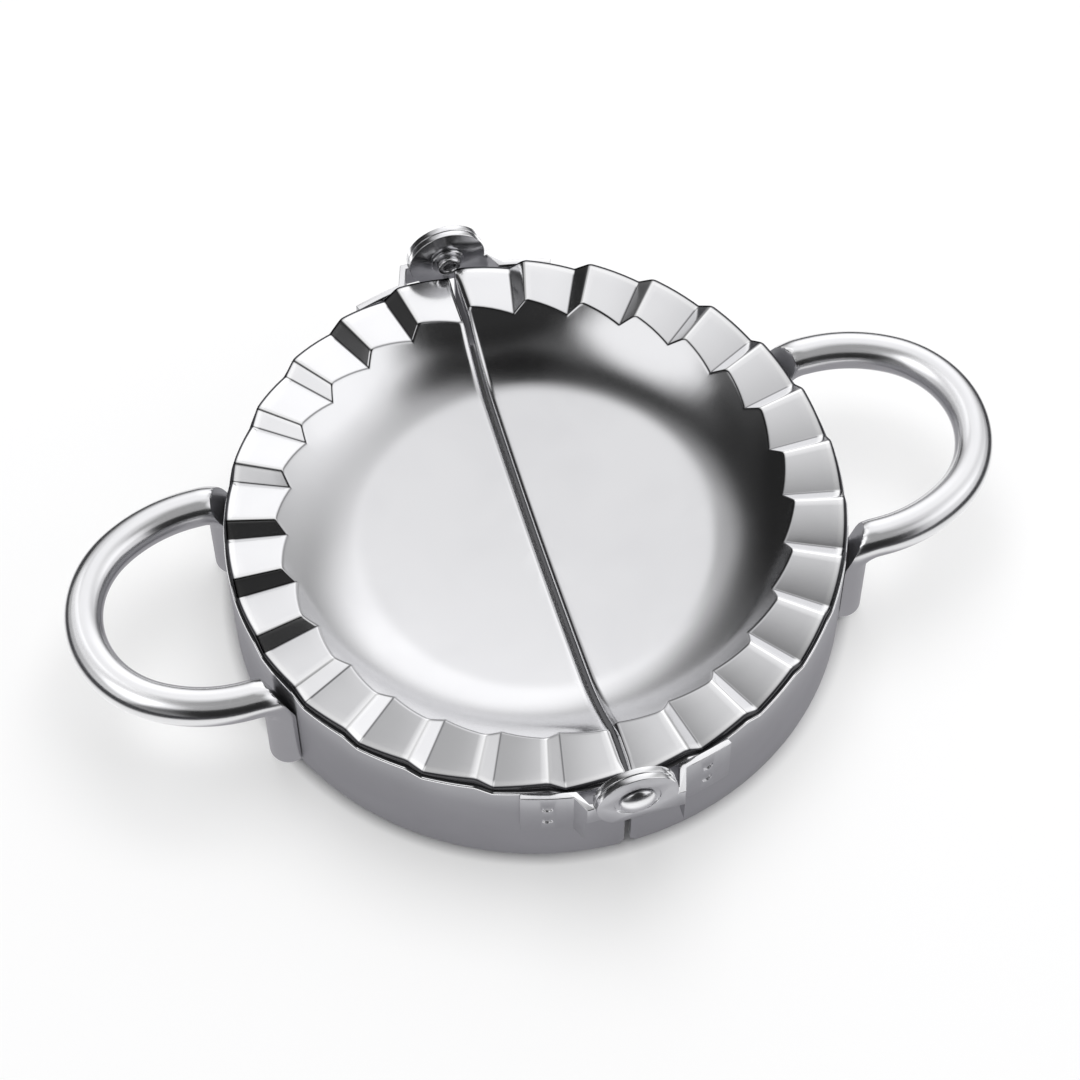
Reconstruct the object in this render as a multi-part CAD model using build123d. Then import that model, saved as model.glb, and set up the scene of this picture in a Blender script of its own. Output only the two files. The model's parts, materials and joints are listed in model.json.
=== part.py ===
from build123d import *
import os
from math import atan2, cos, radians, sin, sqrt

# Empanada press: two half dishes with a pleated rim, each on its own half of a
# cutting ring, hinged front and back on the line between them, a bent rod
# handle on each half.  Millimetres.  X runs across the two handles, Y along
# the hinge line, Z up, bottom of the cutting ring at z = 0.

os.makedirs("parts", exist_ok=True)

# ---- main sizes -----------------------------------------------------------
ring_outer_r = 47.5          # outside of the cutting ring
ring_wall = 0.8              # sheet of the cutting ring
rim_mid_z = 20.5             # middle height of the pleats, top face
dish_sheet = 0.6             # sheet of the dishes
dish_edge_in = 0.35          # dish edge stands this far inside the ring face
dish_on_ring = 0.05          # seat of the low corners of the pleats on the ring
ring_wave = 0.6              # the ring's top follows this share of a pleat
cut_half_gap = 0.4           # half of the slot between the two dishes
ring_half_gap = 0.5          # half of the slot between the two ring halves
close_gap = 0.8              # room left between the rims when folded shut
dish_edge_r = ring_outer_r - dish_edge_in

# ---- pleats ---------------------------------------------------------------
pleats = 28                  # pleats round the full rim
pleat_pitch = 360 / pleats   # degrees
riser_deg = 3.0              # width of the steep side of a pleat, degrees
pleat_rise = 1.9             # height of a pleat at the dish edge
crease_deg = 0.45            # width of the softened crease, degrees

# ---- bowl, heights are depths below rim_mid_z ------------------------------
bowl_depth = 8.15            # deepest point, on the middle
floor_r = dish_edge_r - 20.95    # end of the gently sagging floor
floor_end_depth = 6.75
wall_r = dish_edge_r - 18.45     # end of the tight bend, foot of the rounded wall
wall_depth = 6.18
lip_r = dish_edge_r - 5.65       # wall carried on under the pleats
lip_depth = -3.36
cut_flange = 3.0             # turned-down edge along the slot
cut_flange_t = 0.6
flange_short = 0.4           # the flange ends this far inside the ring

# ---- hinge ----------------------------------------------------------------
axis_z = rim_mid_z + close_gap / 2
plate_t = 1.0                # hinge plate sheet
plate_gap = 0.05             # running gap between the two lugs
lug_r = 6.2                  # round lug about the hinge line
inner_lug_y = ring_outer_r + 1.9     # inner face of the inner lug
pad_from_deg = 9.8           # welded pad on the ring, degrees from the slot
pad_to_deg = 19.4
pad_drop = 9.9               # pad height below its top edge
lug_low = 5.2                # straight lower edge of a lug, below the hinge line
pad_top_gap = 1.2            # pad top below the hinge line
pad_seat = 0.03              # weld gap between pad and ring
bend_clear = 0.45            # bend starts this far outside the lug circle
pad_overlap = 0.6            # pad outline starts this far before the weld
pad_spare = 2.0              # outline carried past the pad end before it is cut
dimple_r = 0.8               # spot weld marks on the pads
dimple_deep = 0.25
recess_r = 3.5               # shallow recess round the rivet head
recess_deep = 0.25
pin_r = 1.5                  # rivet shank
pin_run = 0.05               # running gap round the shank
pin_fit = 0.01               # seat of the shank in the plate it turns with
head_r = 2.75
head_h = 1.4
head_side = 0.5              # straight side of the head
washer_r = 2.7
washer_t = 0.4
tail_bore_r = 1.05           # hollow end of the rivet
tail_flare_r = 1.95          # rolled over end of the rivet
tail_flare_h = 1.2
tail_seat = 0.02
tail_bore_deep = 2.4

# ---- handles --------------------------------------------------------------
rod_r = 2.95                 # round bar
rod_z = 17.6                 # middle of the loop
leg_deg = 21.5               # legs stand at this angle either side of X
leg_seat = 0.05              # weld gap between leg and ring
leg_flat = 3.2               # thickness of the flattened leg
facet_tilt = 20.0            # lean of the flat at the top of the bend, degrees
facet_from = 3.4             # that flat starts this far under the loop
leg_bottom_z = 0.3
bend_r = 4.2                 # bend from leg to loop
bend_run = 1.0               # straight bar between the bend and the loop
loop_narrow = 1.2            # the round end is this much narrower than the legs
loop_run = 4.1               # from the end of the straight to the loop's centre
leg_round = 0.9              # rounded foot of a leg

# ---- small details --------------------------------------------------------
notch = 1.2                  # clipped bottom corners of the ring halves
notch_reach = 6.0            # half length of the cutter for a clipped corner
far = 70.0                   # size of cutting bodies
spare = 2.0                  # cutting bodies stand this much past each other


def half_box(gap):
    """Room on the right of the slot."""
    return Pos(gap + far, 0, 0) * Box(2 * far, 4 * far, 2 * far)


def pleat_fan(drop, bottom, reach, share=1.0):
    """Everything under the pleated surface, lowered by drop; share flattens the pleats."""
    slope = share * pleat_rise / 2 / dish_edge_r
    soft = crease_deg / 2
    half_riser = riser_deg / 2
    facet_run = pleat_pitch - riser_deg
    points = []
    for n in range(pleats):
        mid = n * pleat_pitch
        rise_in = slope * (1 - 2 * soft / riser_deg)
        rise_out = slope * (1 - 2 * soft / facet_run)
        points.append((mid - half_riser + soft, -rise_in))
        points.append((mid + half_riser - soft, rise_in))
        points.append((mid + half_riser + soft, rise_out))
        points.append((mid + pleat_pitch - half_riser - soft, -rise_out))
    top = []
    base = []
    for turn, height in points:
        x = reach * sin(radians(turn))
        y = reach * cos(radians(turn))
        top.append(Vector(x, y, rim_mid_z - drop + height * reach))
        base.append(Vector(x, y, bottom))
    tip = Vector(0, 0, rim_mid_z - drop)
    faces = []
    count = len(top)
    for n in range(count):
        m = (n + 1) % count
        faces.append(Face(Wire.make_polygon([tip, top[n], top[m]], close=True)))
        side = [top[n], base[n], base[m], top[m]]
        faces.append(Face(Wire.make_polygon(side, close=True)))
    faces.append(Face(Wire.make_polygon(base, close=True)))
    return Solid(Shell(faces))


def bowl_body(inset, bottom, reach):
    """Everything under the bowl surface, moved in by inset square to it."""
    z0 = rim_mid_z - inset
    deep = z0 - bowl_depth
    floor_end = (floor_r, z0 - floor_end_depth)
    wall_foot = (wall_r + inset * 0.33, rim_mid_z - wall_depth - inset * 0.94)
    lip = (lip_r + inset * 0.81, rim_mid_z - lip_depth - inset * 0.59)
    half_floor = (floor_r / 2, deep + (bowl_depth - floor_end_depth) / 4)
    with BuildPart() as body:
        with BuildSketch(Plane.XZ):
            with BuildLine():
                floor = ThreePointArc((0, deep), half_floor, floor_end)
                bend = TangentArc(floor_end, wall_foot, tangent=floor % 1)
                TangentArc(wall_foot, lip, tangent=bend % 1)
                Line(lip, (reach, lip[1]))
                Line((reach, lip[1]), (reach, bottom))
                Line((reach, bottom), (0, bottom))
                Line((0, bottom), (0, deep))
            make_face()
        revolve(axis=Axis.Z, revolution_arc=360)
    return body.part


def under_dish(inset, bottom, reach):
    """Everything under the dish surface moved in by inset."""
    return bowl_body(inset, bottom, reach) & pleat_fan(inset, bottom - spare, reach + spare)


def make_dish():
    """Half dish on the right: pleated rim, bowl and turned-down slot edge."""
    reach = ring_outer_r + 4 * spare
    upper = under_dish(0, spare, reach)
    lower = under_dish(dish_sheet, 0, reach + spare)
    sheet = upper - lower
    sheet = sheet & Cylinder(dish_edge_r, 2 * far) & half_box(cut_half_gap)
    slab = Pos(cut_half_gap + cut_flange_t / 2, 0, 0) * Box(cut_flange_t, 2 * far, 2 * far)
    inside = Cylinder(ring_outer_r - ring_wall - flange_short, 2 * far)
    flange = (upper - Pos(0, 0, -cut_flange) * under_dish(0, 0, reach + spare)) & slab & inside
    return sheet + flange


def make_ring():
    """Half of the cutting ring on the right."""
    band = Cylinder(ring_outer_r, 2 * far) - Cylinder(ring_outer_r - ring_wall, 3 * far)
    band = band & (Pos(0, 0, far / 2) * Box(4 * far, 4 * far, far))
    low_corner = pleat_rise / 2 * (1 - ring_wave)
    drop = dish_sheet + dish_on_ring + low_corner
    band = band & pleat_fan(drop, -spare, ring_outer_r + 4 * spare, ring_wave)
    band = band & half_box(ring_half_gap)
    cutter = Box(notch * sqrt(2), 2 * notch_reach, notch * sqrt(2))
    for side in (-1, 1):
        corner = Pos(ring_half_gap, side * ring_outer_r, 0)
        band = band - corner * Rot(0, 45, 0) * cutter
    return band


def plate_plan(lug_y, side):
    """Plan of a hinge plate in X, Y: lug, jog and pad, on one side of Y."""
    pad_in = ring_outer_r + pad_seat
    pad_mid = pad_in + plate_t / 2
    start = radians(pad_from_deg)
    stop = radians(pad_to_deg)
    lug_mid = lug_y + plate_t / 2
    lug_x = lug_r + bend_clear
    first = (pad_mid * sin(start), pad_mid * cos(start))
    middle = (pad_mid * sin((start + stop) / 2), pad_mid * cos((start + stop) / 2))
    last = (pad_mid * sin(stop), pad_mid * cos(stop))
    bend = (lug_x + plate_t * 0.3, lug_mid)
    arc = ThreePointArc(first, middle, last)
    jog = Line(bend, first)
    flat = Line((-lug_r - spare, lug_mid), bend)
    plan = trace([flat, jog, arc], line_width=plate_t)
    plan += Pos(*bend) * Circle(plate_t / 2)
    plan += Pos(*first) * Circle(plate_t / 2)
    strip = extrude(plan, amount=axis_z + lug_r + spare)
    return strip if side > 0 else mirror(strip, about=Plane.YZ)


def make_plate(lug_y, side, pin_room, recess):
    """Hinge plate at the +Y end, its pad on the side given."""
    strip = plate_plan(lug_y, side)
    top = axis_z - pad_top_gap
    low = top - pad_drop
    pad_x = (ring_outer_r + plate_t) * sin(radians(pad_to_deg)) + pad_spare
    outline = Pos(0, axis_z) * Circle(lug_r) & Pos(0, axis_z + lug_r) * Rectangle(
        4 * lug_r, 2 * (lug_r + lug_low))
    neck = lug_low - pad_top_gap
    outline += Pos(side * pad_x / 4, axis_z - pad_top_gap - neck / 2) * Rectangle(pad_x / 2, neck)
    pad_start = ring_outer_r * sin(radians(pad_from_deg)) - pad_overlap
    run = pad_x - pad_start
    outline += Pos(side * (pad_start + run / 2), (top + low) / 2) * Rectangle(run, top - low)
    shape = strip & extrude(Plane.XZ * outline, amount=-far)
    bore = Pos(0, lug_y, axis_z) * Rot(90, 0, 0) * Cylinder(pin_room, 4 * plate_t)
    shape = shape - bore
    if recess:
        face_y = lug_y + plate_t
        shape -= Pos(0, face_y, axis_z) * Rot(90, 0, 0) * Cylinder(recess_r, 2 * recess_deep)
    turn = side * (pad_from_deg + pad_to_deg) / 2
    weld_y = ring_outer_r + pad_seat + plate_t
    for level in (0.32, 0.68):
        spot = Pos(0, weld_y, low + level * (top - low)) * Rot(90, 0, 0)
        shape -= Rot(0, 0, -turn) * spot * Cylinder(dimple_r, 2 * dimple_deep)
    return shape


def make_rivet(seat_y, inner_y):
    """Rivet at the +Y end: domed head outside, rolled hollow end inside."""
    shank = seat_y - inner_y + washer_t
    rise = head_h - head_side
    dome_r = (head_r ** 2 + rise ** 2) / (2 * rise)
    head = Pos(0, 0, head_h / 2) * Cylinder(head_r, head_h)
    head = head & Pos(0, 0, head_h - dome_r) * Sphere(dome_r)
    pin = Pos(0, 0, -(shank + tail_flare_h) / 2) * Cylinder(pin_r, shank + tail_flare_h)
    roll = Pos(0, 0, -shank - tail_seat - tail_flare_h / 2) * Cylinder(tail_flare_r, tail_flare_h)
    roll = fillet(roll.edges().filter_by(GeomType.CIRCLE), tail_flare_h * 0.3)
    body = head + pin + roll
    end_z = -shank - tail_seat - tail_flare_h
    bore = Pos(0, 0, end_z + tail_bore_deep / 2) * Cylinder(tail_bore_r, tail_bore_deep)
    mouth = Pos(0, 0, end_z) * Sphere(tail_bore_r * 1.45)
    body = body - bore - mouth
    return Pos(0, seat_y, axis_z) * Rot(-90, 0, 0) * body


def make_washer(inner_y):
    """Washer between the inner lug and the rolled end."""
    disc = Cylinder(washer_r, washer_t) - Cylinder(pin_r + pin_fit, 2 * washer_t)
    return Pos(0, inner_y - washer_t / 2, axis_z) * Rot(90, 0, 0) * disc


def make_handle():
    """Right handle: round bar loop, ends bent down into flattened legs."""
    out_x = cos(radians(leg_deg))
    out_y = sin(radians(leg_deg))
    leg_r = ring_outer_r + leg_seat + leg_flat - rod_r
    foot = Vector(leg_r * out_x, leg_r * out_y, leg_bottom_z)
    knee = Vector(foot.X, foot.Y, rod_z - bend_r)
    quarter = bend_r * (1 - cos(radians(45)))
    elbow = Vector(foot.X + quarter, foot.Y, rod_z - quarter)
    bend_top = Vector(foot.X + bend_r, foot.Y, rod_z)
    # each side swings in on a wide arc that runs into the round end of the loop
    loop_r = foot.Y - loop_narrow
    swing_x = bend_top.X + bend_run
    loop_x = swing_x + loop_run
    swing_r = (loop_run ** 2 + foot.Y ** 2 - loop_r ** 2) / (2 * loop_narrow)
    swing_y = foot.Y - swing_r
    away = sqrt(loop_run ** 2 + swing_y ** 2)
    meet = Vector(loop_x + loop_r * loop_run / away, -loop_r * swing_y / away, rod_z)
    part_way = (atan2(meet.Y - swing_y, meet.X - swing_x) + radians(90)) / 2
    halfway = Vector(swing_x + swing_r * cos(part_way), swing_y + swing_r * sin(part_way), rod_z)
    tip = Vector(loop_x + loop_r, 0, rod_z)
    straight = Vector(swing_x, foot.Y, rod_z)
    first = [foot, knee, elbow, bend_top, straight, halfway, meet]
    other = [Vector(p.X, -p.Y, p.Z) for p in first]
    with BuildPart() as bar:
        with BuildLine() as path:
            Line(first[0], first[1])
            ThreePointArc(first[1], first[2], first[3])
            Line(first[3], first[4])
            ThreePointArc(first[4], first[5], first[6])
            ThreePointArc(first[6], tip, other[6])
            ThreePointArc(other[6], other[5], other[4])
            Line(other[4], other[3])
            ThreePointArc(other[3], other[2], other[1])
            Line(other[1], other[0])
        with BuildSketch(Plane(origin=foot, z_dir=(0, 0, 1))):
            Circle(rod_r)
        sweep(path=path.line)
    shape = bar.part
    shape = fillet(shape.edges().group_by(Axis.Z)[0], leg_round)
    wide = 4 * rod_r
    seat = ring_outer_r + leg_seat
    for side in (-1, 1):
        block = Pos(seat - wide / 2, 0, rod_z) * Box(wide, 2 * wide, 4 * rod_z)
        shape = shape - Rot(0, 0, side * leg_deg) * block
        lean = Pos(seat, 0, rod_z - facet_from) * Rot(0, facet_tilt, 0)
        wedge = lean * Pos(-wide / 2, 0, wide) * Box(wide, 2 * wide, 2 * wide)
        shape = shape - Rot(0, 0, side * leg_deg) * wedge
    return shape


def build():
    dish = make_dish()
    ring = make_ring()
    handle = make_handle()
    inner_face = inner_lug_y
    outer_face = inner_lug_y + plate_t + plate_gap
    half_turn = Rot(0, 0, 180)
    back_inner = make_plate(inner_face, 1, pin_r + pin_run, False)
    back_outer = make_plate(outer_face, -1, pin_r + pin_fit, True)
    rivet = make_rivet(outer_face + plate_t - recess_deep, inner_face - plate_gap)
    washer = make_washer(inner_face - plate_gap)
    export_step(dish, "parts/right_dish.step")
    export_step(half_turn * dish, "parts/left_dish.step")
    export_step(ring, "parts/right_cutting_ring.step")
    export_step(half_turn * ring, "parts/left_cutting_ring.step")
    export_step(handle, "parts/right_handle.step")
    export_step(half_turn * handle, "parts/left_handle.step")
    export_step(back_inner, "parts/back_inner_hinge_plate.step")
    export_step(back_outer, "parts/back_outer_hinge_plate.step")
    export_step(half_turn * back_inner, "parts/front_inner_hinge_plate.step")
    export_step(half_turn * back_outer, "parts/front_outer_hinge_plate.step")
    export_step(rivet, "parts/back_rivet.step")
    export_step(half_turn * rivet, "parts/front_rivet.step")
    export_step(washer, "parts/back_washer.step")
    export_step(half_turn * washer, "parts/front_washer.step")


build()
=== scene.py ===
import bpy
import bmesh
import json
from math import atan2, cos, pi, radians, sin, sqrt, tan
from mathutils import Matrix, Vector

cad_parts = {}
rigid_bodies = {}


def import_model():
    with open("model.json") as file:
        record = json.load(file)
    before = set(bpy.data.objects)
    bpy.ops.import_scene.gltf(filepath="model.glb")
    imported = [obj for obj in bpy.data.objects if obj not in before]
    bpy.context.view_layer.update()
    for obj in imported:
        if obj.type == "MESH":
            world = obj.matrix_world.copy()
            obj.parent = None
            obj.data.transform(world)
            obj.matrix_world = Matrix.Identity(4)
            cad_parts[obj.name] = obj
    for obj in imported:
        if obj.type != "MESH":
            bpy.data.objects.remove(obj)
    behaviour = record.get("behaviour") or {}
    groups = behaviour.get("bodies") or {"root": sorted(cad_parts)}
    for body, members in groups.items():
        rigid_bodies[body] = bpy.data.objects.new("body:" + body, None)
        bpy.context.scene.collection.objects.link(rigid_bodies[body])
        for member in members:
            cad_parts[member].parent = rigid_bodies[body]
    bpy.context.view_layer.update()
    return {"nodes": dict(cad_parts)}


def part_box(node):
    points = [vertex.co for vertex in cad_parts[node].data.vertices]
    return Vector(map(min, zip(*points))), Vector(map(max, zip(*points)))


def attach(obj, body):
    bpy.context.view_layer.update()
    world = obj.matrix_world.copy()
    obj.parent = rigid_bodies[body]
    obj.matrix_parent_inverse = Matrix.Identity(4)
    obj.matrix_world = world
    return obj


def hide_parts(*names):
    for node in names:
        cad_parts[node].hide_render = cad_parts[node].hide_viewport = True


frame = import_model()
print("frame loaded", len(frame["nodes"]), "nodes")

mm = 0.001  # all sizes below are written in millimetres

# sizes that more than one piece follows
press = {
    "rimMidZ": 20.5,        # middle height of the pleats
    "ringOuter": 47.5,      # outside of the cutting ring
    "dishEdge": 47.0,       # edge of the pleated rim
    "hingeZ": 20.9,         # height of the hinge line
    "pleats": 28,           # pleats round the full rim
    "riserDeg": 3.0,        # steep side of one pleat, degrees
    "pleatRise": 1.9,       # height of one pleat at the edge
    "weld": 0.001,          # points closer than this are one point
}
pitchDeg = 360.0 / press["pleats"]
halfRiser = press["riserDeg"] / 2
pleatSlope = press["pleatRise"] / 2 / press["dishEdge"]   # rise of a crest for each mm of radius


def meshFromBm(bm, name):
    mesh = bpy.data.meshes.new(name)
    bm.to_mesh(mesh)
    bm.free()
    return mesh


def bmFromMesh(mesh, weld):
    bm = bmesh.new()
    bm.from_mesh(mesh)
    bmesh.ops.remove_doubles(bm, verts=bm.verts, dist=weld * mm)
    return bm


def addObject(name, data):
    obj = bpy.data.objects.new(name, data)
    bpy.context.scene.collection.objects.link(obj)
    return obj


def bakeObject(obj):
    # what the modifiers make becomes the object's own plain mesh
    graph = bpy.context.evaluated_depsgraph_get()
    made = bpy.data.meshes.new_from_object(obj.evaluated_get(graph))
    obj.modifiers.clear()
    if obj.type == "MESH":
        obj.data = made
        return obj
    name = obj.name
    bpy.data.objects.remove(obj)
    return addObject(name, made)


def softShade(mesh, sharpDeg):
    # smooth faces, with a crease kept where two faces meet steeper than sharpDeg
    bm = bmesh.new()
    bm.from_mesh(mesh)
    for face in bm.faces:
        face.smooth = True
    for edge in bm.edges:
        if len(edge.link_faces) == 2:
            edge.smooth = edge.calc_face_angle(0.0) < radians(sharpDeg)
    bm.to_mesh(mesh)
    bm.free()


def roundEdges(obj, width, segments, angleDeg):
    bevel = obj.modifiers.new("softEdges", "BEVEL")
    bevel.width = width * mm
    bevel.segments = segments
    bevel.limit_method = "ANGLE"
    bevel.angle_limit = radians(angleDeg)
    bevel.harden_normals = False
    return bevel


def smoothMin(a, b, k):
    h = max(k - abs(a - b), 0.0) / k
    return min(a, b) - h * h * k * 0.25


def fromZero(value, low, high):
    # 0 at low, 1 at high, level past both
    return min(max((value - low) / (high - low), 0.0), 1.0)


def lineMask(distance, width):
    # 1 on a line, fading to 0 at this width either side
    return max(0.0, 1 - abs(distance) / width)


def newGroup(name, kind, inputs, outputs):
    group = bpy.data.node_groups.new(name, kind)
    for label, socketType, value in inputs:
        socket = group.interface.new_socket(label, in_out="INPUT", socket_type=socketType)
        if value is not None:
            socket.default_value = value
    for label, socketType in outputs:
        group.interface.new_socket(label, in_out="OUTPUT", socket_type=socketType)
    return group, group.nodes.new("NodeGroupInput"), group.nodes.new("NodeGroupOutput")


def addNode(nodes, kind, values=None, **settings):
    # a node with its settings, then the plain values of its inputs
    node = nodes.new(kind)
    for key, value in settings.items():
        setattr(node, key, value)
    for label, value in (values or {}).items():
        node.inputs[label].default_value = value
    return node


def turnedCopiesTree():
    # one wedge of a ring, repeated round the upright axis and welded to one sheet
    tree, source, result = newGroup(
        "turnedCopies", "GeometryNodeTree",
        [("Geometry", "NodeSocketGeometry", None),
         ("Copies", "NodeSocketInt", 14),
         ("Pitch Degrees", "NodeSocketFloat", 12.857),
         ("Weld", "NodeSocketFloat", 0.00001),
         ("Finish", "NodeSocketMaterial", None)],
        [("Geometry", "NodeSocketGeometry")])
    join = tree.links.new
    points = addNode(tree.nodes, "GeometryNodePoints")
    place = addNode(tree.nodes, "GeometryNodeInstanceOnPoints")
    index = addNode(tree.nodes, "GeometryNodeInputIndex")
    angle = addNode(tree.nodes, "ShaderNodeMath", operation="MULTIPLY")
    toRad = addNode(tree.nodes, "ShaderNodeMath", operation="RADIANS")
    clockwise = addNode(tree.nodes, "ShaderNodeMath", {1: -1.0}, operation="MULTIPLY")
    spin = addNode(tree.nodes, "ShaderNodeCombineXYZ")
    euler = addNode(tree.nodes, "FunctionNodeEulerToRotation")
    real = addNode(tree.nodes, "GeometryNodeRealizeInstances")
    weld = addNode(tree.nodes, "GeometryNodeMergeByDistance")
    paint = addNode(tree.nodes, "GeometryNodeSetMaterial")
    join(source.outputs["Copies"], points.inputs["Count"])
    join(points.outputs[0], place.inputs["Points"])
    join(source.outputs["Geometry"], place.inputs["Instance"])
    join(index.outputs[0], angle.inputs[0])
    join(source.outputs["Pitch Degrees"], angle.inputs[1])
    join(angle.outputs[0], toRad.inputs[0])
    join(toRad.outputs[0], clockwise.inputs[0])
    join(clockwise.outputs[0], spin.inputs["Z"])
    join(spin.outputs[0], euler.inputs[0])
    join(euler.outputs[0], place.inputs["Rotation"])
    join(place.outputs[0], real.inputs[0])
    join(real.outputs[0], weld.inputs["Geometry"])
    join(source.outputs["Weld"], weld.inputs["Distance"])
    join(weld.outputs[0], paint.inputs["Geometry"])
    join(source.outputs["Finish"], paint.inputs["Material"])
    join(paint.outputs[0], result.inputs[0])
    return tree


def barAlongPathTree():
    # a round bar along a curve, thinner where the curve's radius is less than one
    tree, source, result = newGroup(
        "barAlongPath", "GeometryNodeTree",
        [("Geometry", "NodeSocketGeometry", None),
         ("Bar Radius", "NodeSocketFloat", 0.00295),
         ("Sides", "NodeSocketInt", 96),
         ("Finish", "NodeSocketMaterial", None)],
        [("Geometry", "NodeSocketGeometry")])
    join = tree.links.new
    section = addNode(tree.nodes, "GeometryNodeCurvePrimitiveCircle")
    sweep = addNode(tree.nodes, "GeometryNodeCurveToMesh", {"Fill Caps": True})
    radius = addNode(tree.nodes, "GeometryNodeInputRadius")
    real = addNode(tree.nodes, "GeometryNodeRealizeInstances")
    paint = addNode(tree.nodes, "GeometryNodeSetMaterial")
    join(source.outputs["Sides"], section.inputs["Resolution"])
    join(source.outputs["Bar Radius"], section.inputs["Radius"])
    join(source.outputs["Geometry"], sweep.inputs["Curve"])
    join(section.outputs[0], sweep.inputs["Profile Curve"])
    if "Scale" in sweep.inputs:
        join(radius.outputs[0], sweep.inputs["Scale"])
    join(sweep.outputs[0], real.inputs[0])
    join(real.outputs[0], paint.inputs["Geometry"])
    join(source.outputs["Finish"], paint.inputs["Material"])
    join(paint.outputs[0], result.inputs[0])
    return tree


def runTree(obj, tree, values):
    # an input is found by its name and set by its identifier
    step = obj.modifiers.new(tree.name, "NODES")
    step.node_group = tree
    for item in tree.interface.items_tree:
        if item.item_type == "SOCKET" and item.in_out == "INPUT" and item.name in values:
            step[item.identifier] = values[item.name]
    return bakeObject(obj)


def steelGrainGroup():
    # fine rolled grain and stray hairline scratches
    group, source, result = newGroup(
        "steelGrain", "ShaderNodeTree",
        [("Vector", "NodeSocketVector", None),
         ("Grain Scale", "NodeSocketFloat", 900.0),
         ("Stretch", "NodeSocketVector", (1.0, 1.0, 1.0)),
         ("Scratch Scale", "NodeSocketFloat", 160.0)],
        [("Grain", "NodeSocketFloat"), ("Scratches", "NodeSocketFloat")])
    join = group.links.new
    pull = addNode(group.nodes, "ShaderNodeVectorMath", operation="MULTIPLY")
    join(source.outputs["Vector"], pull.inputs[0])
    join(source.outputs["Stretch"], pull.inputs[1])
    noise = addNode(group.nodes, "ShaderNodeTexNoise", {"Detail": 4.0, "Roughness": 0.65})
    join(pull.outputs[0], noise.inputs["Vector"])
    join(source.outputs["Grain Scale"], noise.inputs["Scale"])
    # hairlines are the thin level lines of a warped noise
    warp = addNode(group.nodes, "ShaderNodeTexNoise", {"Detail": 1.0, "Distortion": 1.2})
    join(source.outputs["Vector"], warp.inputs["Vector"])
    join(source.outputs["Scratch Scale"], warp.inputs["Scale"])
    level = addNode(group.nodes, "ShaderNodeMath", {1: 0.5}, operation="SUBTRACT")
    size = addNode(group.nodes, "ShaderNodeMath", operation="ABSOLUTE")
    thin = addNode(group.nodes, "ShaderNodeMapRange",
                   {"From Min": 0.0, "From Max": 0.006, "To Min": 1.0, "To Max": 0.0})
    # and a second, slow noise leaves them out in most places
    here = addNode(group.nodes, "ShaderNodeTexNoise", {"Scale": 90.0})
    join(source.outputs["Vector"], here.inputs["Vector"])
    some = addNode(group.nodes, "ShaderNodeMapRange", {"From Min": 0.56, "From Max": 0.66})
    both = addNode(group.nodes, "ShaderNodeMath", operation="MULTIPLY")
    join(warp.outputs["Fac"], level.inputs[0])
    join(level.outputs[0], size.inputs[0])
    join(size.outputs[0], thin.inputs["Value"])
    join(here.outputs["Fac"], some.inputs["Value"])
    join(thin.outputs[0], both.inputs[0])
    join(some.outputs[0], both.inputs[1])
    join(noise.outputs["Fac"], result.inputs["Grain"])
    join(both.outputs[0], result.inputs["Scratches"])
    return group


def handlingGroup():
    # soft cloudy marks left by hands and cloths
    group, source, result = newGroup(
        "handlingMarks", "ShaderNodeTree",
        [("Vector", "NodeSocketVector", None),
         ("Cloud Scale", "NodeSocketFloat", 45.0),
         ("Low", "NodeSocketFloat", 0.4),
         ("High", "NodeSocketFloat", 0.7)],
        [("Marks", "NodeSocketFloat")])
    join = group.links.new
    cloud = addNode(group.nodes, "ShaderNodeTexNoise", {"Detail": 5.0, "Distortion": 0.4})
    fade = addNode(group.nodes, "ShaderNodeMapRange")
    join(source.outputs["Vector"], cloud.inputs["Vector"])
    join(source.outputs["Cloud Scale"], cloud.inputs["Scale"])
    join(cloud.outputs["Fac"], fade.inputs["Value"])
    join(source.outputs["Low"], fade.inputs["From Min"])
    join(source.outputs["High"], fade.inputs["From Max"])
    join(fade.outputs[0], result.inputs["Marks"])
    return group


grainGroup = steelGrainGroup()
marksGroup = handlingGroup()


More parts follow.
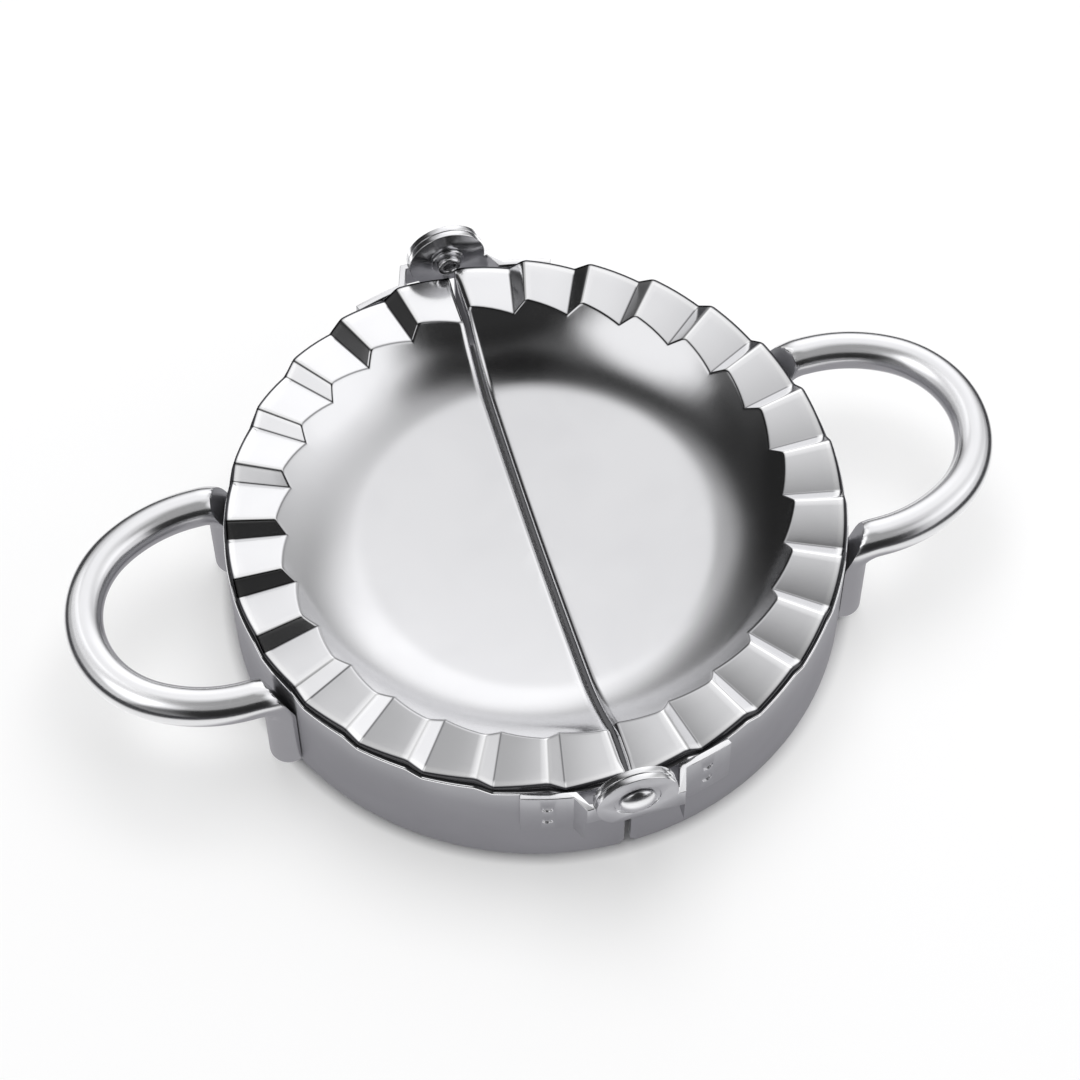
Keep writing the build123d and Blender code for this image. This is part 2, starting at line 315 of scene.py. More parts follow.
def steelMaterial(name, look):
    material = bpy.data.materials.new(name)
    material.use_nodes = True
    nodes = material.node_tree.nodes
    join = material.node_tree.links.new
    shader = nodes["Principled BSDF"]
    shader.inputs["Metallic"].default_value = 1.0
    place = nodes.new("ShaderNodeTexCoord")
    grain = addNode(nodes, "ShaderNodeGroup", node_tree=grainGroup)
    grain.inputs["Grain Scale"].default_value = look["grainScale"]
    grain.inputs["Stretch"].default_value = look.get("stretch", (1, 1, 1))
    grain.inputs["Scratch Scale"].default_value = look["scratchScale"]
    marks = addNode(nodes, "ShaderNodeGroup", node_tree=marksGroup)
    marks.inputs["Cloud Scale"].default_value = look["markScale"]
    join(place.outputs["Object"], grain.inputs["Vector"])
    join(place.outputs["Object"], marks.inputs["Vector"])

    def overlay(below, factor, tone):
        # this tone over what is below, by the factor
        layer = addNode(nodes, "ShaderNodeMix", data_type="RGBA")
        layer.inputs["B"].default_value = (*tone, 1.0)
        join(factor, layer.inputs["Factor"])
        if below is not None:
            join(below, layer.inputs["A"])
        return layer

    # colour: the steel's tone, a little darker in the clouds
    share = addNode(nodes, "ShaderNodeMath", {1: 0.5}, operation="MULTIPLY")
    join(marks.outputs["Marks"], share.inputs[0])
    tone = overlay(None, share.outputs[0], look["darkTone"])
    tone.inputs["A"].default_value = (*look["tone"], 1.0)
    colour = tone.outputs["Result"]
    # painted shade darkens the folds and rolled outer edge of the dishes, and a painted highlight
    # brightens their crests and outer band
    for layerTone, mask in (("creaseShadeTone", "fold"), ("crestHighlightTone", "worn")):
        if layerTone in look:
            where = addNode(nodes, "ShaderNodeAttribute", attribute_name=mask)
            colour = overlay(colour, where.outputs["Fac"], look[layerTone]).outputs["Result"]
    join(colour, shader.inputs["Base Color"])
    # roughness: its base, then marks, hairlines and grain on top
    rough = addNode(nodes, "ShaderNodeMapRange",
                    {"To Min": look["rough"], "To Max": look["rough"] + look["roughMarks"]})
    join(marks.outputs["Marks"], rough.inputs["Value"])
    level = rough.outputs[0]
    for mask, amount in (("Scratches", "scratchRough"), ("Grain", "grainRough")):
        more = addNode(nodes, "ShaderNodeMath", {1: look[amount]}, operation="MULTIPLY_ADD")
        join(grain.outputs[mask], more.inputs[0])
        join(level, more.inputs[2])
        level = more.outputs[0]
    if "bowlSatin" in look:
        # the bowl is brushed duller than the rim round it
        flat = addNode(nodes, "ShaderNodeVectorMath", {1: (1.0, 1.0, 0.0)}, operation="MULTIPLY")
        reach = addNode(nodes, "ShaderNodeVectorMath", operation="LENGTH")
        inside = addNode(nodes, "ShaderNodeMapRange", {
            "From Min": look["satinFull"] * mm, "From Max": look["satinGone"] * mm,
            "To Min": look["bowlSatin"], "To Max": 0.0}, interpolation_type="SMOOTHSTEP")
        total = nodes.new("ShaderNodeMath")
        join(place.outputs["Object"], flat.inputs[0])
        join(flat.outputs[0], reach.inputs[0])
        join(reach.outputs["Value"], inside.inputs["Value"])
        join(inside.outputs[0], total.inputs[0])
        join(level, total.inputs[1])
        level = total.outputs[0]
    join(level, shader.inputs["Roughness"])
    # relief: slow waviness of pressed sheet, then grain, then hairlines
    wave = addNode(nodes, "ShaderNodeTexNoise", {"Scale": look["waveScale"], "Detail": 1.0})
    join(place.outputs["Object"], wave.inputs["Vector"])
    below = None
    for height, depth, sunk in ((wave.outputs["Fac"], "wave", False),
                                (grain.outputs["Grain"], "grainBump", False),
                                (grain.outputs["Scratches"], "scratchBump", True)):
        relief = addNode(nodes, "ShaderNodeBump",
                         {"Strength": 1.0, "Distance": look[depth] * mm}, invert=sunk)
        join(height, relief.inputs["Height"])
        if below is not None:
            join(below, relief.inputs["Normal"])
        below = relief.outputs["Normal"]
    join(below, shader.inputs["Normal"])
    return material


# tones, roughness, sizes of grain, hairlines and marks, and relief in millimetres
finishes = {
    "rimPolish": {
        "tone": (0.82, 0.82, 0.83), "darkTone": (0.76, 0.76, 0.775),
        "rough": 0.11, "roughMarks": 0.04,
        "grainScale": 1500.0, "scratchScale": 130.0, "markScale": 60.0,
        "scratchRough": 0.02, "grainRough": 0.03, "wave": 0.012, "waveScale": 160.0,
        "grainBump": 0.0012, "scratchBump": 0.0005,
        "bowlSatin": 0.05, "satinFull": 33.0, "satinGone": 37.0,
        # near-black painted shade in the folds, near-white painted highlight on the crests
        "creaseShadeTone": (0.05, 0.05, 0.055), "crestHighlightTone": (0.99, 0.99, 0.99)},
    "ringSatin": {
        "tone": (0.50, 0.50, 0.52), "darkTone": (0.42, 0.42, 0.44),
        "rough": 0.36, "roughMarks": 0.08,
        "grainScale": 900.0, "stretch": (1, 1, 5), "scratchScale": 120.0, "markScale": 50.0,
        "scratchRough": 0.06, "grainRough": 0.08, "wave": 0.04, "waveScale": 60.0,
        "grainBump": 0.003, "scratchBump": 0.002},
    "barPolish": {
        "tone": (0.64, 0.64, 0.65), "darkTone": (0.58, 0.58, 0.595),
        "rough": 0.16, "roughMarks": 0.06,
        "grainScale": 1300.0, "scratchScale": 150.0, "markScale": 70.0,
        "scratchRough": 0.06, "grainRough": 0.04, "wave": 0.02, "waveScale": 200.0,
        "grainBump": 0.001, "scratchBump": 0.0015},
    # painted shade: a near-black tone for the dish's cut edge and the ring's top, where shade falls
    "cutEdge": {
        "tone": (0.12, 0.12, 0.125), "darkTone": (0.07, 0.07, 0.075),
        "rough": 0.42, "roughMarks": 0.1,
        "grainScale": 1400.0, "scratchScale": 200.0, "markScale": 150.0,
        "scratchRough": 0.06, "grainRough": 0.08, "wave": 0.01, "waveScale": 300.0,
        "grainBump": 0.003, "scratchBump": 0.002},
    "plateSatin": {
        "tone": (0.52, 0.52, 0.54), "darkTone": (0.43, 0.43, 0.45),
        "rough": 0.32, "roughMarks": 0.1,
        "grainScale": 1000.0, "scratchScale": 170.0, "markScale": 110.0,
        "scratchRough": 0.08, "grainRough": 0.08, "wave": 0.02, "waveScale": 250.0,
        "grainBump": 0.003, "scratchBump": 0.003},
    "plateGloss": {
        "tone": (0.60, 0.60, 0.615), "darkTone": (0.50, 0.50, 0.515),
        "rough": 0.14, "roughMarks": 0.08,
        "grainScale": 1200.0, "scratchScale": 180.0, "markScale": 110.0,
        "scratchRough": 0.03, "grainRough": 0.05, "wave": 0.03, "waveScale": 260.0,
        "grainBump": 0.002, "scratchBump": 0.0006},
    # painted highlight: a near-white tone for the ring's outer lip and the upward faces of the
    # plates
    "edgeBright": {
        "tone": (0.97, 0.97, 0.98), "darkTone": (0.88, 0.88, 0.90),
        "rough": 0.16, "roughMarks": 0.06,
        "grainScale": 1500.0, "scratchScale": 200.0, "markScale": 160.0,
        "scratchRough": 0.04, "grainRough": 0.04, "wave": 0.01, "waveScale": 300.0,
        "grainBump": 0.001, "scratchBump": 0.0008},
    "rivetBright": {
        "tone": (0.80, 0.80, 0.81), "darkTone": (0.66, 0.66, 0.68),
        "rough": 0.15, "roughMarks": 0.1,
        "grainScale": 1600.0, "scratchScale": 260.0, "markScale": 220.0,
        "scratchRough": 0.03, "grainRough": 0.06, "wave": 0.02, "waveScale": 500.0,
        "grainBump": 0.002, "scratchBump": 0.0008},
}
steel = {name: steelMaterial(name, look) for name, look in finishes.items()}
print("materials made", sorted(steel))

copiesTree = turnedCopiesTree()
barTree = barAlongPathTree()

dish = {
    "bowlDepth": 8.15, "floorR": 26.2, "floorEndDepth": 6.75,   # gently sagging floor
    "wallR": 28.7, "wallDepth": 6.18,                           # tight bend up to here
    "lipR": 41.5, "lipDepth": -3.36,                            # rounded wall, up to the rim
    "meetFrom": 33.0,                                           # no pleat starts inside this radius
    "softFrom": 25.0, "softSpan": 0.5,                          # where and how far bends are eased
    "sheet": 0.6, "innerSoft": 0.3, "crown": 0.12,              # sheet, inner corner, pleat bulge
    "crestSoft": 1.3, "valleySoft": 0.4,                        # rounding of the creases, degrees
    "shadeLineWide": 0.24, "shadeValley": 0.9, "shadeInner": 0.6,      # painted shade: dark lines along the folds
    "shadePast": 0.2,                                            # they run this far into the bowl
    "highlightWide": 0.7,                                            # painted highlight on crests and outer band
    "edgeShadeWide": 0.4, "edgeShadeFade": 0.12,                          # painted shade on the rolled outer edge
    "slotHalf": 0.4, "bendR": 1.0, "flange": 3.0,               # turned-down edge along the slot
    "flangeEnd": 46.1, "flangeFade": 1.2, "flangeStub": 0.32,   # it runs out near the ring wall
    "cutEdgeR": 0.26, "cutAngle": 55, "creaseDeg": 50,          # rounded cut edge, kept creases
}


def pleatHeight(turnDeg):
    # height of the saw-tooth, -1 to 1, with softened corners
    a = turnDeg % pitchDeg
    facet = pitchDeg - press["riserDeg"]

    def raw(t):
        t = t % pitchDeg
        if t < halfRiser:
            return t / halfRiser
        if t > pitchDeg - halfRiser:
            return (t - pitchDeg) / halfRiser
        u = (t - halfRiser) / facet
        return 1.0 - 2.0 * u + 4.0 * dish["crown"] * u * (1.0 - u)

    soft = dish["crestSoft"] if raw(a) > 0 else dish["valleySoft"]   # the crest is the rounder one
    steps = 8
    total = 0.0
    for n in range(-steps, steps + 1):
        total += raw(a + soft * n / steps * 0.5)
    return total / (2 * steps + 1)


def arcDepth(r, start, tilt, end):
    # a round arc that leaves start at a tilt and runs to end; both are (radius, depth)
    endTilt = 2 * atan2(start[1] - end[1], end[0] - start[0]) - tilt
    size = (end[0] - start[0]) / (sin(endTilt) - sin(tilt))
    s = sin(tilt) + (r - start[0]) / size
    return start[1] - size * (cos(tilt) - sqrt(1 - s * s)), endTilt


def bowlDepthAt(r):
    # depth under the rim's middle height: sagging floor, tight bend, rounded wall
    d = dish
    floorEnd = (d["floorR"], d["floorEndDepth"])
    wallFoot = (d["wallR"], d["wallDepth"])
    sag = d["bowlDepth"] - d["floorEndDepth"]
    if r <= d["floorR"]:
        return d["bowlDepth"] - sag * (r / d["floorR"]) ** 2
    floorTilt = 2 * atan2(sag, d["floorR"])
    depth, tilt = arcDepth(min(r, d["wallR"]), floorEnd, floorTilt, wallFoot)
    if r > d["wallR"]:
        depth, tilt = arcDepth(min(r, d["lipR"]), wallFoot, tilt, (d["lipR"], d["lipDepth"]))
    return depth - tan(tilt) * max(r - d["lipR"], 0.0)


def meetRadius(rise):
    # where the wall comes up to a pleat that rises this much for each millimetre outwards
    low, high = dish["meetFrom"], dish["lipR"]
    for _ in range(30):
        middle = (low + high) / 2
        if -bowlDepthAt(middle) < rise * middle:
            low = middle
        else:
            high = middle
    return low


def softBowl(r):
    # the same depth with its bends eased
    if r <= dish["softFrom"]:
        return bowlDepthAt(r)
    steps = 6
    near = [bowlDepthAt(r + dish["softSpan"] * n / steps) for n in range(-steps, steps + 1)]
    return sum(near) / len(near)


def dishWedge():
    # one pleat's wedge of the half dish, from the middle out to the edge
    low = pitchDeg - halfRiser
    columns = [0.0, 0.55, 0.95, 1.18, 1.32, 1.44, 1.56, 1.68, 1.84, 2.15, 3.0, 4.6, 6.4, 8.2, 9.8]
    columns += [low + o for o in (-0.62, -0.34, -0.18, -0.06, 0.06, 0.18, 0.32, 0.55, 0.95)]
    columns += [pitchDeg]
    bowl = [2.0, 6.0, 11.0, 16.0, 20.0, 23.0, 24.6, 25.5, 26.1, 26.7, 27.3, 27.9, 28.5, 29.1, 29.7,
            30.2, 30.7, 31.3, 32.0, 33.0, 34.2, 35.4, 36.2, 36.8]
    corner = [-0.42, -0.22, -0.1, 0.0, 0.1, 0.22, 0.42]
    pleat = [0.22, 0.45, 0.68, 0.84, 0.9, 0.935, 0.955, 0.97, 0.985, 1.0]
    bm = bmesh.new()
    # layers that carry the painted shade and the painted highlight
    fold = bm.verts.layers.float.new("fold")
    worn = bm.verts.layers.float.new("worn")
    middle = bm.verts.new((0, 0, (press["rimMidZ"] - dish["bowlDepth"]) * mm))
    grid = []
    for turn in columns:
        h = pleatHeight(turn)
        meet = meetRadius(h * pleatSlope)
        start = meet + corner[-1]
        radii = bowl + [bowl[-1] + (meet + corner[0] - bowl[-1]) * 0.5]
        radii += [meet + o for o in corner]
        radii += [start + (press["dishEdge"] - start) * f for f in pleat]
        line = []
        for r in radii:
            z = -softBowl(r)
            if r >= bowl[-1]:
                z = smoothMin(z, h * pleatSlope * r, dish["innerSoft"])
            a = radians(turn)
            point = bm.verts.new((r * sin(a) * mm, r * cos(a) * mm, (press["rimMidZ"] + z) * mm))
            valley = crest = 0.0
            if r > meet - dish["shadePast"]:
                valley = lineMask(radians(turn - low) * r, dish["shadeLineWide"])
            if r > meet:
                crest = lineMask(radians(turn - halfRiser) * r, dish["highlightWide"])
            inside = lineMask(r - meet, dish["shadeLineWide"])
            edge = lineMask(press["dishEdge"] - dish["highlightWide"] - r, dish["highlightWide"])
            edgeShadeStart = press["dishEdge"] - dish["edgeShadeWide"]
            edgeShade = fromZero(r, edgeShadeStart, edgeShadeStart + dish["edgeShadeFade"])
            # the folds, the inner corner and the rolled outer edge get painted shade
            point[fold] = max(dish["shadeValley"] * valley, dish["shadeInner"] * inside, edgeShade)
            # painted highlight along the crests and the outer band, none on the shaded rolled edge
            point[worn] = max(crest, edge) * (1 - edgeShade)
            line.append(point)
        grid.append(line)
    for one, two in zip(grid, grid[1:]):
        bm.faces.new((middle, two[0], one[0]))
        for n in range(len(one) - 1):
            bm.faces.new((one[n], two[n], two[n + 1], one[n + 1]))
    bm.normal_update()
    if sum(f.normal.z for f in bm.faces) < 0:
        bmesh.ops.reverse_faces(bm, faces=bm.faces)
    return meshFromBm(bm, "dishWedge")


def turnDownSlotEdge(bm):
    # the sheet ends at the slot in a rounded bend and a short flange downwards
    bend = dish["bendR"]
    reach = (dish["slotHalf"] + bend) * mm
    geom = list(bm.verts) + list(bm.edges) + list(bm.faces)
    bmesh.ops.bisect_plane(bm, geom=geom, dist=1e-7, plane_co=(reach, 0, 0), plane_no=(1, 0, 0),
                           clear_inner=True)
    rail = [e for e in bm.edges
            if e.is_boundary and all(abs(v.co.x - reach) < 1e-6 for v in e.verts)]
    angles = [radians(a) for a in (18, 36, 54, 72, 90)]
    steps = [(bend * sin(a), bend * (1 - cos(a))) for a in angles]
    steps += [(bend, bend + (dish["flange"] - bend) * f) for f in (0.4, 0.85, 1.0)]
    lastAcross = lastDown = 0.0
    for across, down in steps:
        made = bmesh.ops.extrude_edge_only(bm, edges=rail)["geom"]
        verts = {g for g in made if isinstance(g, bmesh.types.BMVert)}
        rail = [g for g in made if isinstance(g, bmesh.types.BMEdge) and verts.issuperset(g.verts)]
        for v in verts:
            inwards = dish["flangeEnd"] - abs(v.co.y) / mm
            full = fromZero(inwards, 0.0, dish["flangeFade"])
            keep = dish["flangeStub"] + (1 - dish["flangeStub"]) * full
            v.co.x -= (across - lastAcross) * mm
            v.co.z -= (down - lastDown) * keep * mm
        lastAcross, lastDown = across, down
    bmesh.ops.recalc_face_normals(bm, faces=bm.faces)
    if sum(f.normal.z * f.calc_area() for f in bm.faces) < 0:
        bmesh.ops.reverse_faces(bm, faces=bm.faces)


def halfRound(name, wedge, finish):
    # the right half: fourteen wedges side by side
    return runTree(addObject(name, wedge), copiesTree, {
        "Copies": press["pleats"] // 2, "Pitch Degrees": pitchDeg,
        "Weld": 2 * press["weld"] * mm, "Finish": finish})


def makeDish(side):
    obj = halfRound(side + "DishShell", dishWedge(), steel["rimPolish"])
    bm = bmFromMesh(obj.data, press["weld"])
    turnDownSlotEdge(bm)
    if side == "left":
        bm.transform(Matrix.Rotation(pi, 4, "Z"))
    bm.to_mesh(obj.data)
    bm.free()
    sheet = obj.modifiers.new("sheet", "SOLIDIFY")
    sheet.thickness = dish["sheet"] * mm
    sheet.offset = -1.0
    # the sheet's cut edge and its rounding get the painted shade
    sheet.material_offset_rim = 1
    obj.data.materials.append(steel["cutEdge"])
    rounded = roundEdges(obj, dish["cutEdgeR"], 3, dish["cutAngle"])
    rounded.material = len(obj.data.materials) - 1
    obj = bakeObject(obj)
    softShade(obj.data, dish["creaseDeg"])
    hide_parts(side + "_dish")
    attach(obj, side + "_half")


ring = {
    "wall": 0.8, "seat": 0.05,       # sheet, and the room left under the dish
    "slotHalf": 0.5, "clip": 1.2,    # slot between the halves, clipped lower corner
    "wave": 0.6,                     # the top follows this share of a pleat
    "edge": 0.2,                     # rounding of the sheet's edges
    "rowsZ": (14.0, 7.0),            # heights of the rows of points on the wall
    "cornerR": 0.12, "cutAngle": 40, "creaseDeg": 40,
}


def ringWedge():
    low = pitchDeg - halfRiser
    columns = [0.0, 0.7, 1.15, 1.35, 1.5, 1.65, 1.9, 2.6, 4.4, 6.4, 8.4, 10.2]
    columns += [low + o for o in (-0.4, -0.15, 0.0, 0.15, 0.4, 0.9)] + [pitchDeg]
    out = press["ringOuter"]
    back = out - ring["wall"]
    upper, lower = ring["rowsZ"]
    e = ring["edge"]
    bm = bmesh.new()
    grid = []
    for turn in columns:
        h = pleatHeight(turn)

        def top(r):
            lowest = press["pleatRise"] / 2 * (1 - ring["wave"])
            under = press["rimMidZ"] - dish["sheet"] - ring["seat"]
            return under - lowest + ring["wave"] * h * pleatSlope * r

        # the wall's section, once round
        profile = [(out, upper), (out, top(out) - 2 * e), (out - 0.3 * e, top(out) - 0.9 * e),
                   (out - e, top(out) - 0.25 * e), (out - 2 * e, top(out)),
                   (back + 2 * e, top(back)), (back + e, top(back) - 0.25 * e),
                   (back, top(back) - e), (back, upper), (back, lower), (back, e), (back + e, 0.0),
                   (out - e, 0.0), (out - 0.3 * e, 0.3 * e), (out, e), (out, lower)]
        a = radians(turn)
        grid.append([bm.verts.new((r * sin(a) * mm, r * cos(a) * mm, z * mm)) for r, z in profile])
    count = len(grid[0])
    for one, two in zip(grid, grid[1:]):
        for n in range(count):
            m = (n + 1) % count
            bm.faces.new((one[n], one[m], two[m], two[n]))
    bmesh.ops.recalc_face_normals(bm, faces=bm.faces)
    return meshFromBm(bm, "ringWedge")


def cutFlat(bm, point, normal):
    # cuts away what lies behind the plane and closes the cut
    geom = list(bm.verts) + list(bm.edges) + list(bm.faces)
    bmesh.ops.bisect_plane(bm, geom=geom, dist=1e-7, plane_co=point, plane_no=normal,
                           clear_inner=True)
    edges = [e for e in bm.edges if e.is_boundary]
    bmesh.ops.holes_fill(bm, edges=edges, sides=0)


def makeRing(side):
    obj = halfRound(side + "RingBand", ringWedge(), steel["ringSatin"])
    bm = bmFromMesh(obj.data, press["weld"])
    cutFlat(bm, (ring["slotHalf"] * mm, 0, 0), (1, 0, 0))
    cutFlat(bm, ((ring["slotHalf"] + ring["clip"]) * mm, 0, 0), (1, 0, 1))
    bmesh.ops.recalc_face_normals(bm, faces=bm.faces)
    if side == "left":
        bm.transform(Matrix.Rotation(pi, 4, "Z"))
    # the top of the wall gets painted shade, a near-black tone, and its outer lip a painted
    # highlight
    obj.data.materials.append(steel["edgeBright"])
    obj.data.materials.append(steel["cutEdge"])
    bm.normal_update()
    for face in bm.faces:
        middle = face.calc_center_median()
        if face.normal.z > 0.2 and middle.z > ring["rowsZ"][0] * mm:
            lip = middle.xy.length > (press["ringOuter"] - 1.2 * ring["edge"]) * mm
            face.material_index = len(obj.data.materials) - (2 if lip else 1)
    bm.to_mesh(obj.data)
    bm.free()
    roundEdges(obj, ring["cornerR"], 2, ring["cutAngle"])
    obj = bakeObject(obj)
    softShade(obj.data, ring["creaseDeg"])
    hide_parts(side + "_cutting_ring")
    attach(obj, side + "_half")


handle = {
    "rodR": 2.95, "loopZ": 17.6,                       # round bar, height of the loop
    "legDeg": 21.5, "legSeat": 0.05, "legBottom": 0.3,
    "legFlat": 3.2,                                    # what is left of the bar in a pressed leg
    "bendR": 4.2, "bendRun": 1.0,                      # bend from leg to loop, straight after it
    "narrow": 1.2, "loopRun": 4.1,                     # how the arms run into the loop
    "facetLean": 20.0, "facetFrom": 3.4,               # flat at the top of the bend
    "facetOver": 0.5, "legsWithin": 55.0,              # where the two flats reach
    "footRound": 0.9, "footSteps": (0.0, 0.06, 0.16, 0.3, 0.5, 0.75, 1.0),
    "sides": 96, "step": 0.35, "weld": 0.0001, "creaseDeg": 38,
}


def arcPoints(centre, radius, fromDeg, toDeg, step):
    count = max(3, int(abs(radians(toDeg - fromDeg)) * radius / step))
    angles = [radians(fromDeg + (toDeg - fromDeg) * n / count) for n in range(count + 1)]
    return [(centre[0] + radius * cos(a), centre[1] + radius * sin(a)) for a in angles]


def handlePath():
    # middle line of the right handle, foot to foot
    h = handle
    legR = press["ringOuter"] + h["legSeat"] + h["legFlat"] - h["rodR"]
    fx = legR * cos(radians(h["legDeg"]))
    fy = legR * sin(radians(h["legDeg"]))
    pts = []
    z = h["legBottom"]
    for lift in h["footSteps"]:
        pts.append((fx, fy, z + lift))
    foot = z + h["footSteps"][-1]
    knee = h["loopZ"] - h["bendR"]
    steps = int((knee - foot) / h["step"])
    for n in range(1, steps + 1):
        pts.append((fx, fy, foot + (knee - foot) * n / steps))
    for x, dz in arcPoints((fx + h["bendR"], 0), h["bendR"], 180, 90, h["step"])[1:]:
        pts.append((x, fy, knee + dz))
    swingX = fx + h["bendR"] + h["bendRun"]
    for n in (1, 2, 3):
        pts.append((fx + h["bendR"] + h["bendRun"] * n / 3, fy, h["loopZ"]))
    loopR = fy - h["narrow"]
    loopX = swingX + h["loopRun"]
    swingR = (h["loopRun"] ** 2 + fy ** 2 - loopR ** 2) / (2 * h["narrow"])
    swingY = fy - swingR
    lean = atan2(-swingY, h["loopRun"]) * 180 / pi
    for x, y in arcPoints((swingX, swingY), swingR, 90, lean, h["step"])[1:]:
        pts.append((x, y, h["loopZ"]))
    for x, y in arcPoints((loopX, 0), loopR, lean, 0, h["step"])[1:]:
        pts.append((x, y, h["loopZ"]))
    # and the same way back to the other foot
    pts += [(x, -y, z) for x, y, z in reversed(pts[:-1])]
    return pts


def pressFlat(verts, point, normal):
    # metal behind the plane is pushed flat onto it
    for v in verts:
        behind = (v.co - point).dot(normal)
        if behind < 0:
            v.co -= normal * behind


def makeHandle(side):
    h = handle
    curve = bpy.data.curves.new(side + "HandlePath", "CURVE")
    curve.dimensions = "3D"
    pts = handlePath()
    line = curve.splines.new("POLY")
    line.points.add(len(pts) - 1)
    for point, (x, y, z) in zip(line.points, pts):
        point.co = (x * mm, y * mm, z * mm, 1.0)
        # the bar is rounded off over the last bit of each foot
        drop = h["footRound"] - min(z - h["legBottom"], h["footRound"])
        less = h["footRound"] - sqrt(max(h["footRound"] ** 2 - drop ** 2, 0))
        point.radius = 1.0 - less / h["rodR"]
    obj = runTree(addObject(side + "HandleBar", curve), barTree, {
        "Bar Radius": h["rodR"] * mm, "Sides": h["sides"], "Finish": steel["barPolish"]})
    bm = bmFromMesh(obj.data, h["weld"])
    bmesh.ops.recalc_face_normals(bm, faces=bm.faces)
    reach = (press["ringOuter"] + h["legSeat"]) * mm
    for way in (1, -1):
        a = radians(h["legDeg"]) * way
        out = Vector((cos(a), sin(a), 0))
        near = [v for v in bm.verts if v.co.y * way > 0 and v.co.x < h["legsWithin"] * mm]
        pressFlat(near, out * reach, out)
        tilt = radians(h["facetLean"])
        normal = out * cos(tilt) - Vector((0, 0, 1)) * sin(tilt)
        corner = out * reach + Vector((0, 0, (h["loopZ"] - h["facetFrom"]) * mm))
        bend = [v for v in near if v.co.z > corner.z - h["facetOver"] * mm]
        pressFlat(bend, corner, normal)
    if side == "left":
        bm.transform(Matrix.Rotation(pi, 4, "Z"))
    bm.to_mesh(obj.data)
    bm.free()
    softShade(obj.data, h["creaseDeg"])
    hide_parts(side + "_handle")
    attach(obj, side + "_half")


hinge = {
    "edge": 0.13, "edgeAngle": 38, "flatDeg": 1.0,     # rounding of the stamped edges
    "weld": 0.0002, "upwardLit": 0.3,                     # upward faces past this get a painted highlight
    "plateCrease": 40, "rivetCrease": 50, "washerCrease": 30,
    "headR": 2.75, "headH": 1.4,                       # rivet head
    "domeR": 0.86, "domeH": 0.62, "domeDeg": 60,       # its dome: share of the radius, height, arc
    "tailBore": 1.05, "tailR": 1.95, "tailH": 1.2,     # hollow rolled end
    "boreDeep": 2.4,
    "washerR": 2.7, "washerT": 0.4, "washerSoft": 0.12,
    "pinR": 1.5, "pinPlay": 0.01, "sides": 64,
}


def makePlate(node, body):
    # the stamped plate as the model has it, with its edges broken and rounded
    source = frame["nodes"][node]
    obj = addObject(node.replace("_", ""), source.data.copy())
    bm = bmFromMesh(obj.data, hinge["weld"])
    bmesh.ops.dissolve_limit(bm, angle_limit=radians(hinge["flatDeg"]), verts=bm.verts,
                             edges=bm.edges)
    bm.to_mesh(obj.data)
    bm.free()
    obj.data.materials.clear()
    obj.data.materials.append(steel["plateSatin" if node.startswith("front") else "plateGloss"])
    roundEdges(obj, hinge["edge"], 3, hinge["edgeAngle"])
    obj = bakeObject(obj)
    # faces that look upwards get a painted highlight
    obj.data.materials.append(steel["edgeBright"])
    for face in obj.data.polygons:
        if face.normal.z > hinge["upwardLit"]:
            face.material_index = len(obj.data.materials) - 1
    softShade(obj.data, hinge["plateCrease"])
    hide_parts(node)
    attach(obj, body)


def lathe(profile, centreY, way):
    # (radius, along) turned about the hinge line; along grows outwards
    sides = hinge["sides"]
    bm = bmesh.new()
    rows = []
    for radius, along in profile:
        y = centreY + along * way
        turns = [2 * pi * n / sides for n in range(sides)] if radius > 0 else [0.0]
        rows.append([bm.verts.new((radius * cos(a) * mm, y * mm,
                                   (press["hingeZ"] + radius * sin(a)) * mm)) for a in turns])
    for one, two in zip(rows, rows[1:]):
        for n in range(sides):
            m = (n + 1) % sides
            if len(one) == 1:
                bm.faces.new((one[0], two[n], two[m]))
            elif len(two) == 1:
                bm.faces.new((one[n], one[m], two[0]))
            else:
                bm.faces.new((one[n], one[m], two[m], two[n]))
    bmesh.ops.recalc_face_normals(bm, faces=bm.faces)
    return bm


def makeRivet(name, node, body, way):
    low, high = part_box(node)
    outside = max(abs(low.y), abs(high.y)) / mm
    inside = min(abs(low.y), abs(high.y)) / mm
    seat = outside - hinge["headH"]
    head = hinge["headR"]
    domeEnd = radians(hinge["domeDeg"])
    profile = [(0, hinge["headH"])]
    for share in (0.2, 0.4, 0.6, 0.8, 1.0):
        a = domeEnd * share
        drop = hinge["domeH"] * (1 - cos(a)) / (1 - cos(domeEnd))
        profile.append((head * hinge["domeR"] * sin(a) / sin(domeEnd), hinge["headH"] - drop))
    profile += [(head * 0.93, 0.62), (head * 0.98, 0.46), (head, 0.28),
                (head * 0.985, 0.1), (head * 0.96, 0.02)]
    # the shank, and at its end the rolled lip and the hollow
    end = inside - seat
    lip, bore, top = hinge["tailR"], hinge["tailBore"], end + hinge["tailH"]
    profile += [(hinge["pinR"], 0.0), (hinge["pinR"], top + 0.02), (lip - 0.18, top),
                (lip, top - 0.2), (lip, end + 0.3), (lip - 0.1, end + 0.1), (lip - 0.3, end),
                (bore + 0.3, end), (bore + 0.1, end + 0.1), (bore, end + 0.32),
                (bore, end + hinge["boreDeep"] - 0.1), (0, end + hinge["boreDeep"])]
    obj = addObject(name, meshFromBm(lathe(profile, seat * way, way), name))
    obj.data.materials.append(steel["rivetBright"])
    softShade(obj.data, hinge["rivetCrease"])
    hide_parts(node)
    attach(obj, body)


